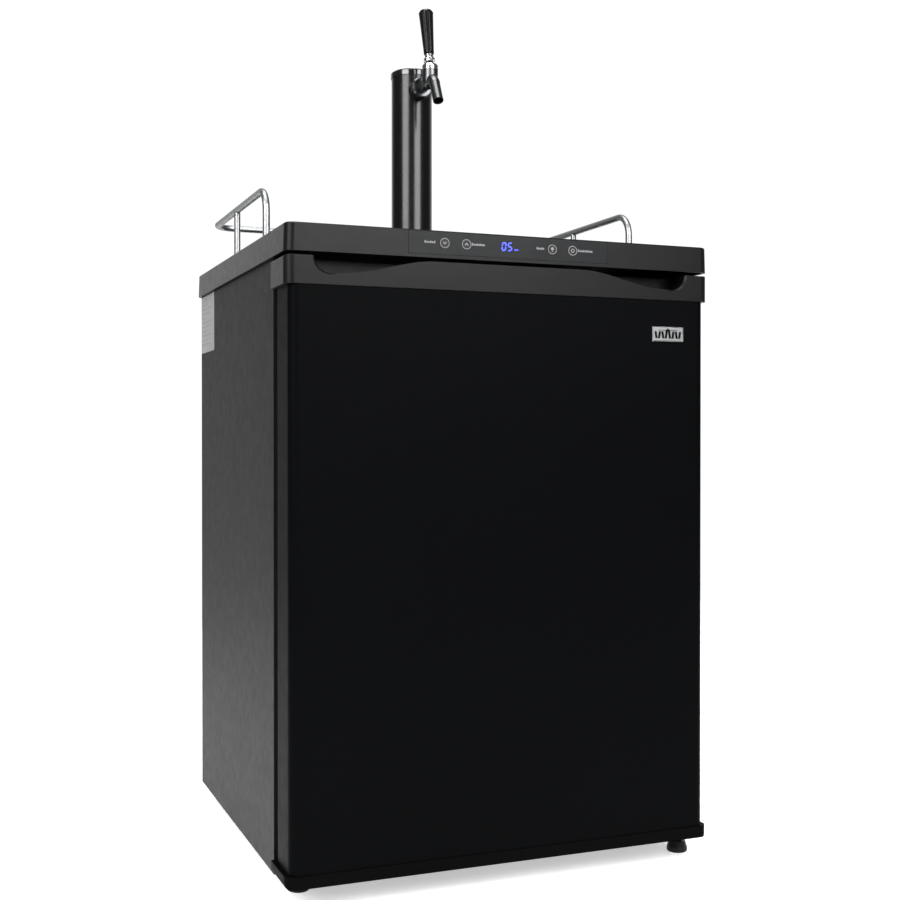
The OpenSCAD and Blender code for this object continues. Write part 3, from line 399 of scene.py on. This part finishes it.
def tube(name, routes, radius, body, material, closed=False):
    """Round wire or pipe of a radius in mm along each route, a list of points in metres."""
    curve = bpy.data.curves.new(name, "CURVE")
    curve.dimensions = "3D"
    curve.bevel_depth = radius * MM
    curve.bevel_resolution = 3
    curve.use_fill_caps = True
    for route in routes:
        spline = curve.splines.new("POLY")
        spline.points.add(len(route) - 1)
        for point, where in zip(spline.points, route):
            point.co = (*where, 1)
        spline.use_cyclic_u = closed
    return add_piece(name, curve, body, material)


def rounded(points, bend, steps=6):
    """The route with its inner corners rounded, the bends starting a distance before each corner."""
    points = [Vector(p) for p in points]
    route = [points[0]]
    for before, corner, after in zip(points, points[1:], points[2:]):
        a = corner + (before - corner).normalized() * bend
        b = corner + (after - corner).normalized() * bend
        for k in range(steps + 1):
            t = k / steps
            route.append((1 - t) ** 2 * a + 2 * t * (1 - t) * corner + t * t * b)
    return route + [points[-1]]


def facing_front(x, y, z):
    """Plane whose +X is the object's +X, +Y is up and +Z points out of the front."""
    return Matrix.Translation((x, y, z)) @ Matrix.Rotation(math.pi / 2, 4, "X")


def facing_left(x, y, z):
    """Plane whose +X runs to the front, +Y is up and +Z points out of the left side."""
    turn = Matrix.Rotation(-math.pi / 2, 4, "Z") @ Matrix.Rotation(math.pi / 2, 4, "X")
    return Matrix.Translation((x, y, z)) @ turn


def facing_right(x, y, z):
    """Plane whose +X runs to the back, +Y is up and +Z points out of the right side."""
    turn = Matrix.Rotation(math.pi / 2, 4, "Z") @ Matrix.Rotation(math.pi / 2, 4, "X")
    return Matrix.Translation((x, y, z)) @ turn


def facing_back(x, y, z):
    """Plane whose +X is the object's -X, +Y is up and +Z points out of the back."""
    turn = Matrix.Rotation(math.pi, 4, "Z") @ Matrix.Rotation(math.pi / 2, 4, "X")
    return Matrix.Translation((x, y, z)) @ turn


def facing_down(x, y, z):
    return Matrix.Translation((x, y, z)) @ Matrix.Rotation(math.pi, 4, "X")


def box_2d(u, v, width, height, lean=0.0):
    """A rectangle by its centre, its top pushed sideways by lean."""
    a, b, c = width / 2, height / 2, lean / 2
    return [(u - a - c, v - b), (u + a - c, v - b), (u + a + c, v + b), (u - a + c, v + b)]


def arc_2d(u, v, inner, outer, start, end, steps=24):
    """A ring segment between two angles in degrees, counter-clockwise from +X."""
    angles = [math.radians(start + (end - start) * i / steps) for i in range(steps + 1)]
    out = [(u + outer * math.cos(a), v + outer * math.sin(a)) for a in angles]
    back = [(u + inner * math.cos(a), v + inner * math.sin(a)) for a in reversed(angles)]
    return out + back


def disc_2d(u, v, radius, sides=32):
    angles = [2 * math.pi * i / sides for i in range(sides)]
    return [(u + radius * math.cos(a), v + radius * math.sin(a)) for a in angles]


def rounded_box_2d(u, v, width, height, radius):
    out = []
    for x, y, start in ((1, 1, 0), (-1, 1, 90), (-1, -1, 180), (1, -1, 270)):
        cx, cy = u + x * (width / 2 - radius), v + y * (height / 2 - radius)
        for i in range(6):
            a = math.radians(start + 18 * i)
            out.append((cx + radius * math.cos(a), cy + radius * math.sin(a)))
    return out


def ring_2d(u, v, inner, outer):
    return [arc_2d(u, v, inner, outer, 0, 180), arc_2d(u, v, inner, outer, 180, 360)]


def spoke_2d(u, v, angle, start, end, width):
    a = math.radians(angle)
    along, across = Vector((math.cos(a), math.sin(a))), Vector((-math.sin(a), math.cos(a))) * width / 2
    centre = Vector((u, v))
    points = (centre + along * start - across, centre + along * end - across,
              centre + along * end + across, centre + along * start + across)
    return [tuple(p) for p in points]


# ---------------------------------------------------------------- control panel, badge and label

PRINT_MM = 0.06
SEGMENTS = {"0": "abcdef", "5": "afgcd"}


def segment_2d(letter, width, height, bar):
    """One bar of a seven-segment digit whose lower left corner is at the origin, with pointed ends."""
    half, gap = bar / 2, 0.2
    mid, top = height / 2, height - half
    spans = {
        "a": ((half, top), (width - half, top)), "g": ((half, mid), (width - half, mid)),
        "d": ((half, half), (width - half, half)), "f": ((half, mid), (half, top)),
        "b": ((width - half, mid), (width - half, top)), "e": ((half, half), (half, mid)),
        "c": ((width - half, half), (width - half, mid)),
    }
    p, q = (Vector(end) for end in spans[letter])
    along = (q - p).normalized()
    across = Vector((-along.y, along.x)) * half
    p, q = p + along * gap, q - along * gap
    inner_p, inner_q = p + along * half, q - along * half
    return [tuple(c) for c in (p, inner_p - across, inner_q - across, q, inner_q + across, inner_p + across)]


def add_display():
    """Two lit digits, a degree mark and a short bar on the panel film."""
    panel_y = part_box("control_fascia")[0].y
    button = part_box("button_cooler")
    z = (button[0].z + button[1].z) / 2
    width, height, bar, slant = 6.8, 11.6, 1.9, 0.1
    shapes = []
    for start, digit in ((-13.6, "0"), (-5.2, "5")):
        for letter in SEGMENTS[digit]:
            flat = segment_2d(letter, width, height, bar)
            shapes.append([(start + u + v * slant, v - height / 2) for u, v in flat])
    shapes += ring_2d(6.6, -3.6, 0.5, 1.3) + [box_2d(9.6, -3.6, 2.2, 1.4)]
    place = facing_front(0, panel_y, z)
    extruded("display_digits", shapes, place, PRINT_MM, ROOT, BLUE_LIGHT)


def sign_shapes(kind):
    """What is printed inside each button's ring, about 5 mm across."""
    if kind == "cooler":
        return [[(-2.6, 1.4), (0, -2.3), (2.6, 1.4), (1.3, 1.4), (0, -0.5), (-1.3, 1.4)]]
    if kind == "warmer":
        return [[(-2.6, -1.4), (-1.3, -1.4), (0, 0.5), (1.3, -1.4), (2.6, -1.4), (0, 2.3)]]
    if kind == "light":
        turn = [math.radians(a) for a in range(-50, 231, 20)]
        bulb = [(2 * math.cos(a), 0.9 + 2 * math.sin(a)) for a in turn]
        return [bulb, box_2d(0, -1.7, 2.2, 0.6), box_2d(0, -2.7, 1.6, 0.6)]
    return [arc_2d(0, 0, 1.8, 2.6, 125, 415), box_2d(0, 1.9, 0.8, 2.4)]


def mark_shapes(width):
    """A run of small marks as wide and high as a word would be, but that say nothing."""
    count = int(width / 2.3)
    heights = (3.2, 2.2, 2.2, 2.8, 2.2, 3.0, 2.2, 2.4, 2.2, 3.2, 2.2)
    shapes = []
    for i in range(count):
        u = (i + 0.5 - count / 2) * width / count
        h = heights[i % len(heights)]
        shapes.append(box_2d(u, (h - 2.2) / 2, 1.5, h, lean=0.3))
    return shapes


def add_panel_print():
    """Rings and signs on the buttons, and the marks beside them."""
    fascia_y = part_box("control_fascia")[0].y
    beside = {"cooler": (-20.3, 15.5), "warmer": (16.4, 18.5), "light": (-17.4, 11.6), "power": (18.4, 22.5)}
    for kind, (offset, width) in beside.items():
        low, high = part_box(f"button_{kind}")
        middle = (low + high) / 2
        on_button = facing_front(middle.x, low.y, middle.z)
        sign = sign_shapes(kind) + ring_2d(0, 0, 5.6, 6.3)
        extruded(f"button_print_{kind}", sign, on_button, PRINT_MM, f"button_{kind}", PRINT_GREY)
        on_fascia = facing_front(middle.x + offset * MM, fascia_y, middle.z)
        extruded(f"panel_print_{kind}", mark_shapes(width), on_fascia, PRINT_MM, ROOT, PRINT_GREY)


def add_badge():
    """A nameplate with a bright raised rim and dark generic marks."""
    low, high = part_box("badge_plate")
    middle = (low + high) / 2
    width, height = (high.x - low.x) / MM, (high.z - low.z) / MM
    place = facing_front(middle.x, low.y, middle.z)
    rim = 1.3
    sides = [box_2d(0, s * (height - rim) / 2, width - 2, rim) for s in (-1, 1)]
    sides += [box_2d(s * (width - rim) / 2, 0, rim, height - 2) for s in (-1, 1)]
    extruded("badge_rim", sides, place, 0.2, "door", FINISH["chrome"], bevel=0.08)
    first, pitch = -18.5, 5.3
    marks = [box_2d(first + pitch * i, -1.2, 3.4, 9.6, lean=(-1.6, 1.6)[i % 2]) for i in range(8)]
    marks += [box_2d(0, 5.2, 30, 0.8), [(-4.5, 3.6), (4.5, 3.6), (0, 8)]]
    extruded("badge_marks", marks, place, 0.1, "door", DARK_INK)


def add_side_label():
    """The rating label high on the left side's rear edge, with lines that say nothing."""
    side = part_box("left_side_panel")
    width, height, edge, film_mm = 104, 92, 1.5, 0.08
    middle_y, top_z = side[1].y - width / 2 * MM, side[1].z
    place = facing_left(side[0].x, middle_y, top_z - height / 2 * MM)
    film = [rounded_box_2d(0, 0, width - edge, height - edge, 2)]
    extruded("side_label", film, place, film_mm, ROOT, LABEL)
    left, top, pitch = -44, 38, 7
    lengths = (70, 46, 78, 60, 30, 74, 66, 40, 72, 54, 62)
    lines = [box_2d(left + n / 2, top - row * pitch, n, 1.7) for row, n in enumerate(lengths)]
    on_film = place @ Matrix.Translation((0, 0, film_mm * MM))
    extruded("side_label_lines", lines, on_film, 0.03, ROOT, LABEL_INK)


# ---------------------------------------------------------------- inside the cabinet and the door

def add_ceiling_lamp():
    """The interior light that the panel's button switches: a white housing with a ribbed lens."""
    low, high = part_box("inner_liner")
    ceiling_z = high.z - 46 * MM
    place = facing_down(0, low.y + 114 * MM, ceiling_z)
    depth, count, pitch = 5, 9, 11.5
    housing = [rounded_box_2d(0, 0, 120, 34, 6)]
    extruded("lamp_housing", housing, place, depth, ROOT, FINISH["fan_white"], bevel=1.2)
    lens = place @ Matrix.Translation((0, 0, depth * MM))
    ribs = [rounded_box_2d(pitch * (i - (count - 1) / 2), 0, 10.8, 24, 3) for i in range(count)]
    extruded("lamp_lens", ribs, lens, 2, ROOT, LAMP_LIGHT, bevel=0.8)


def add_liner_ribs():
    """Moulded ribs on the liner's side walls and inside the door."""
    height_mm, white = 1.6, FINISH["liner_white"]
    low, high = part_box("inner_liner")
    middle = (low + high) / 2
    wall_x = high.x - 28.6 * MM
    for name, x, facing in (("left", -wall_x, facing_right), ("right", wall_x, facing_left)):
        bands = [rounded_box_2d(0, v, 330, 9, 4.4) for v in (-210, -70, 70, 210)]
        place = facing(x, middle.y - 17 * MM, middle.z + 61 * MM)
        extruded(f"liner_ribs_{name}", bands, place, height_mm, ROOT, white, bevel=0.7)
    low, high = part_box("door_liner")
    recess_y, middle_z = low.y + 2 * MM, (low.z + high.z) / 2 + 2 * MM
    place = Matrix.Translation((0, recess_y, middle_z)) @ Matrix.Rotation(-math.pi / 2, 4, "X")
    bands = [rounded_box_2d(0, v, 390, 10, 4.9) for v in (-260, -130, 0, 130, 260)]
    extruded("door_liner_ribs", bands, place, height_mm, "door", white, bevel=0.7)


def add_gasket_beads():
    """The gasket's bellows: a bead round its outer and its inner side."""
    low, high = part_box("door_gasket")
    y = (low.y + high.y) / 2
    rubber = FINISH["gasket_rubber"]
    for name, inset in (("outer", 0.0), ("inner", 18.0)):
        a, b = low.x + inset * MM, high.x - inset * MM
        c, d = low.z + inset * MM, high.z - inset * MM
        loop = [(a, y, c), (b, y, c), (b, y, d), (a, y, d)]
        tube(f"gasket_bead_{name}", [loop], 1.4, "door", rubber, closed=True)


def add_gauge_faces():
    """Dials with ticks and a needle behind the two gauges' rims."""
    low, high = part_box("pressure_gauges")
    card_mm = 0.3
    # The outlet gauge fills the box's lower right corner, the cylinder gauge its upper left one
    gauges = (
        ("outlet", high.x - 16 * MM, low.z + 16 * MM, 13.6, 120),
        ("cylinder", low.x + 19 * MM, high.z - 19 * MM, 16.6, 65),
    )
    for name, x, z, r, needle in gauges:
        place = facing_front(x, low.y + 2 * MM, z)
        extruded(f"dial_{name}", [disc_2d(0, 0, r)], place, card_mm, ROOT, DIAL)
        marks = []
        for angle in range(-45, 226, 15):
            start = 0.72 if angle % 45 == 0 else 0.82
            marks.append(spoke_2d(0, 0, angle, r * start, r * 0.93, 0.6))
        marks += [disc_2d(0, 0, 1.4, 12), spoke_2d(0, 0, needle, -3, r * 0.7, 0.9)]
        on_card = place @ Matrix.Translation((0, 0, card_mm * MM))
        extruded(f"dial_marks_{name}", marks, on_card, 0.2, ROOT, DARK_INK)


def add_hose_clamps():
    """Screwed bands where the hoses are pushed on."""
    coupler, hose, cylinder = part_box("keg_coupler"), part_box("gas_line"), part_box("gas_cylinder")
    on_coupler = Vector((coupler[0].x + 26 * MM, (coupler[0].y + coupler[1].y) / 2, coupler[1].z + 4 * MM))
    on_regulator = Vector(((cylinder[0].x + cylinder[1].x) / 2, hose[0].y + 5 * MM, hose[1].z - 14 * MM))
    clamps = (("beer", on_coupler, 5.6, 6.5, 6.2, 9), ("gas", on_regulator, 5.1, 6, 5.7, 8))
    for name, base, inner, outer, reach, width in clamps:
        band = [(inner, 0), (outer, 0), (outer, 7), (inner, 7)]
        turned(f"{name}_clamp", band, [Matrix.Translation(base)], ROOT, STEEL)
        screw = facing_front(base.x, base.y - reach * MM, base.z + 3.5 * MM)
        extruded(f"{name}_clamp_screw", [rounded_box_2d(0, 0, width, 6, 1)], screw, 3, ROOT, STEEL,
                 bevel=0.5)


def add_cylinder_band():
    """A printed band round the gas cylinder."""
    low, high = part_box("gas_cylinder")
    middle = (low + high) / 2
    place = Matrix.Translation((middle.x, middle.y, low.z))
    inner = 55.5
    outer = inner + 0.15
    band = [(inner, 120), (outer, 120), (outer, 250), (inner, 250)]
    turned("cylinder_band", band, [place], ROOT, BAND, sides=72)
    for i, z in enumerate((126, 241.6)):
        ring = [(outer, z), (outer + 0.1, z), (outer + 0.1, z + 2.4), (outer, z + 2.4)]
        turned(f"band_line_{i}", ring, [place], ROOT, DIAL, sides=72)


# ---------------------------------------------------------------- compressor bay and outside

def add_pipes():
    """Copper from the compressor, and the capillary from the drier, into the cabinet's wall."""
    low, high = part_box("compressor")
    corner = Vector((high.x, low.y, low.z))
    wall = (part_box("rear_panel")[0].y - low.y) / MM + 1.5
    # Name, radius and route, in mm from the compressor's lower right front corner
    pipes = (
        ("suction_pipe", 4, [(-3, 44, 64), (17, 44, 64), (17, wall, 64)]),
        ("discharge_pipe", 3, [(-6, 70, 48), (34, 70, 48), (34, wall, 48)]),
        ("capillary", 1.3, [(54, 105, 62), (54, 105, 31), (54, 48, 31), (54, wall, 31)]),
    )
    for name, radius, route in pipes:
        points = [corner + Vector(p) * MM for p in route]
        tube(name, [rounded(points, 12 * MM)], radius, ROOT, COPPER)


def add_compressor_details():
    """The weld seam round the shell, and a clip that holds the terminal cover."""
    low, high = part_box("compressor")
    centre = Vector((low.x + 92 * MM, (low.y + high.y) / 2, low.z + 68 * MM))
    half_straight, radius, steps = 22 * MM, 56.2 * MM, 24
    seam = []
    for end in (1, -1):
        for i in range(steps + 1):
            a = math.radians(-90 + 180 * i / steps)
            x = centre.x + end * (half_straight + radius * math.cos(a))
            seam.append((x, centre.y + end * radius * math.sin(a), centre.z))
    enamel = FINISH["compressor_black"]
    tube("shell_seam", [seam], 1.2, ROOT, enamel, closed=True)
    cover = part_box("terminal_cover")
    z = (cover[0].z + cover[1].z) / 2
    y0, y1, x = cover[0].y - 0.8 * MM, cover[1].y + 0.8 * MM, cover[0].x - 0.8 * MM
    clip = rounded([(cover[1].x, y0, z), (x, y0, z), (x, y1, z), (cover[1].x, y1, z)], 4 * MM)
    tube("cover_clip", [clip], 0.9, ROOT, STEEL)


def add_screws():
    """Domed screws that hold the rear sheet and the lower hinge, each with a small round recess."""
    dome = [(0, 0), (3.6, 0), (3.4, 0.9), (2.5, 1.6), (0.9, 1.9), (0.9, 1.0), (0, 1.0)]
    low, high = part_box("rear_panel")
    edge_x = high.x - 23.6 * MM
    spots = [(x, drop) for x in (-edge_x, edge_x) for drop in (542, 372, 202, 32)]
    spots += [(x, 17) for x in (-100 * MM, 100 * MM)]
    places = [facing_back(x, high.y, high.z - drop * MM) for x, drop in spots]
    turned("rear_screws", dome, places, ROOT, STEEL, sides=20)
    low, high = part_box("lower_hinge")
    x, z = (low.x + high.x) / 2 - 3 * MM, low.z + 4 * MM
    places = [facing_down(x, low.y + along * MM, z) for along in (49, 67)]
    turned("hinge_screws", dome, places, ROOT, STEEL, sides=20)


def add_foot_grips():
    """The ribs by which each foot is turned."""
    count, radius = 18, 14 * MM
    for name in ("front_left", "front_right", "rear_left", "rear_right"):
        low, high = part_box(f"foot_{name}")
        centre = (low + high) / 2
        ribs = []
        for i in range(count):
            a = 2 * math.pi * i / count
            x, y = centre.x + radius * math.cos(a), centre.y + radius * math.sin(a)
            ribs.append([(x, y, low.z + 1.5 * MM), (x, y, low.z + 6.8 * MM)])
        tube(f"foot_ribs_{name}", ribs, 0.5, f"foot_{name}", FINISH["foot_black"])


def add_tower_seal():
    """The thin rubber ring that seals the tower's flange on the worktop."""
    low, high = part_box("tower_column")
    place = Matrix.Translation((0, (low.y + high.y) / 2, low.z))
    lip = [(52, 0), (53.2, 0), (53.2, 0.9), (52.6, 1.5), (52, 1.5)]
    turned("tower_seal", lip, [place], ROOT, FINISH["rubber_black"], sides=72)


def add_rail_collars():
    """The small pressed collars where the rail's posts meet the worktop."""
    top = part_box("worktop_cap")[1].z
    low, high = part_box("guard_rail")
    rail_r, post_r = 5.0, 4.6
    side, back = high.x - rail_r * MM, high.y - rail_r * MM
    posts = ((low.y + rail_r * MM, rail_r), (low.y + 188 * MM, post_r))
    spots = [(x, y, r) for x in (-side, side) for y, r in posts] + [(0, back, post_r)]
    for i, (x, y, r) in enumerate(spots):
        profile = [(r, 0), (r + 2.6, 0), (r + 2.4, 0.7), (r + 0.8, 1.5), (r, 1.6)]
        place = Matrix.Translation((x, y, top))
        turned(f"rail_collar_{i}", profile, [place], ROOT, FINISH["chrome"])


# ---------------------------------------------------------------- assembly

add_camera()
add_studio()
add_floor()
dress_cad_nodes()
add_display()
add_panel_print()
add_badge()
add_side_label()
add_ceiling_lamp()
add_liner_ribs()
add_gasket_beads()
add_gauge_faces()
add_hose_clamps()
add_cylinder_band()
add_pipes()
add_compressor_details()
add_screws()
add_foot_grips()
add_tower_seal()
add_rail_collars()
